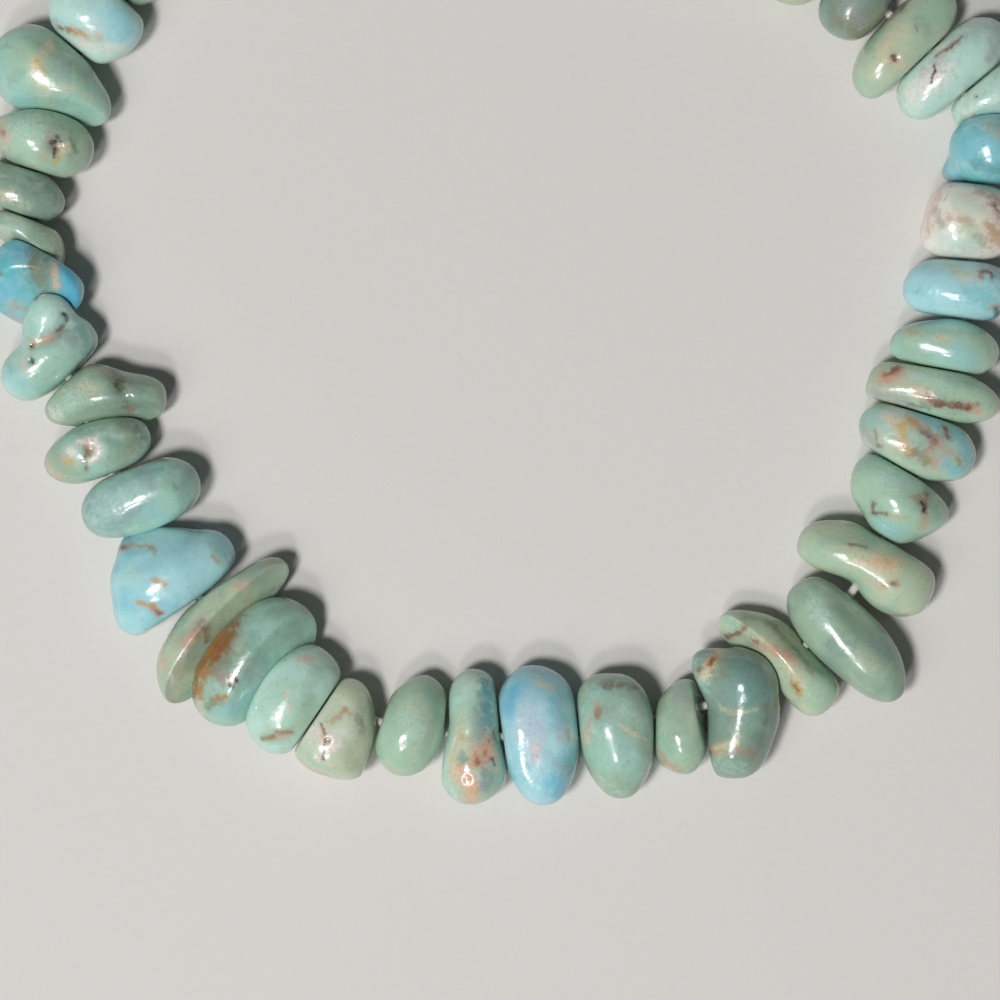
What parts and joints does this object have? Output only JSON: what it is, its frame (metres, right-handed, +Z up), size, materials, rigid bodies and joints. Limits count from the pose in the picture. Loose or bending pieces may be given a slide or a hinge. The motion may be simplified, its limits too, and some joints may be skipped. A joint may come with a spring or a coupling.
{
  "type": "nugget bracelet",
  "caption": "Stretch bracelet of polished turquoise nuggets of mixed shape and tint, strung side by side on a clear-white elastic thread, lying flat as an open loop.",
  "frame": {"origin": "middle of the box round the lying loop, on the surface that it rests on", "axes": "+Z up from the surface; +X across the loop, to the right as it is seen from above; +Y towards its back, where the thread is knotted"},
  "size_m": [0.0742, 0.0707, 0.0055],
  "materials": {
    "turquoise_sky": "polished stone",
    "turquoise_aqua": "polished stone",
    "turquoise_teal": "polished stone",
    "turquoise_sage": "polished stone",
    "elastic_thread": "satin"
  },
  "bodies": {
    "root": {"nugget_01": "turquoise_sky", "nugget_02": "turquoise_aqua", "nugget_03": "turquoise_sage", "nugget_04": "turquoise_sage", "nugget_05": "turquoise_sage", "nugget_06": "turquoise_sky", "nugget_07": "turquoise_aqua", "nugget_08": "turquoise_sage", "nugget_09": "turquoise_sage", "nugget_10": "turquoise_teal", "nugget_11": "turquoise_sky", "nugget_12": "turquoise_sage", "nugget_13": "turquoise_aqua", "nugget_14": "turquoise_aqua", "nugget_15": "turquoise_aqua", "nugget_16": "turquoise_sage", "nugget_17": "turquoise_teal", "nugget_18": "turquoise_sky", "nugget_19": "turquoise_teal", "nugget_20": "turquoise_sage", "nugget_21": "turquoise_teal", "nugget_22": "turquoise_aqua", "nugget_23": "turquoise_sage", "nugget_24": "turquoise_sage", "nugget_25": "turquoise_aqua", "nugget_26": "turquoise_sky", "nugget_27": "turquoise_aqua", "nugget_28": "turquoise_aqua", "nugget_29": "turquoise_sky", "nugget_30": "turquoise_aqua", "nugget_31": "turquoise_sky", "nugget_32": "turquoise_sage", "nugget_33": "turquoise_sage", "nugget_34": "turquoise_sage", "nugget_35": "turquoise_teal", "nugget_36": "turquoise_sage", "back_run_1": "turquoise_sage", "back_run_2": "turquoise_aqua", "back_run_3": "turquoise_sage", "thread": "elastic_thread", "knot": "elastic_thread"}
  },
  "joints": []
}
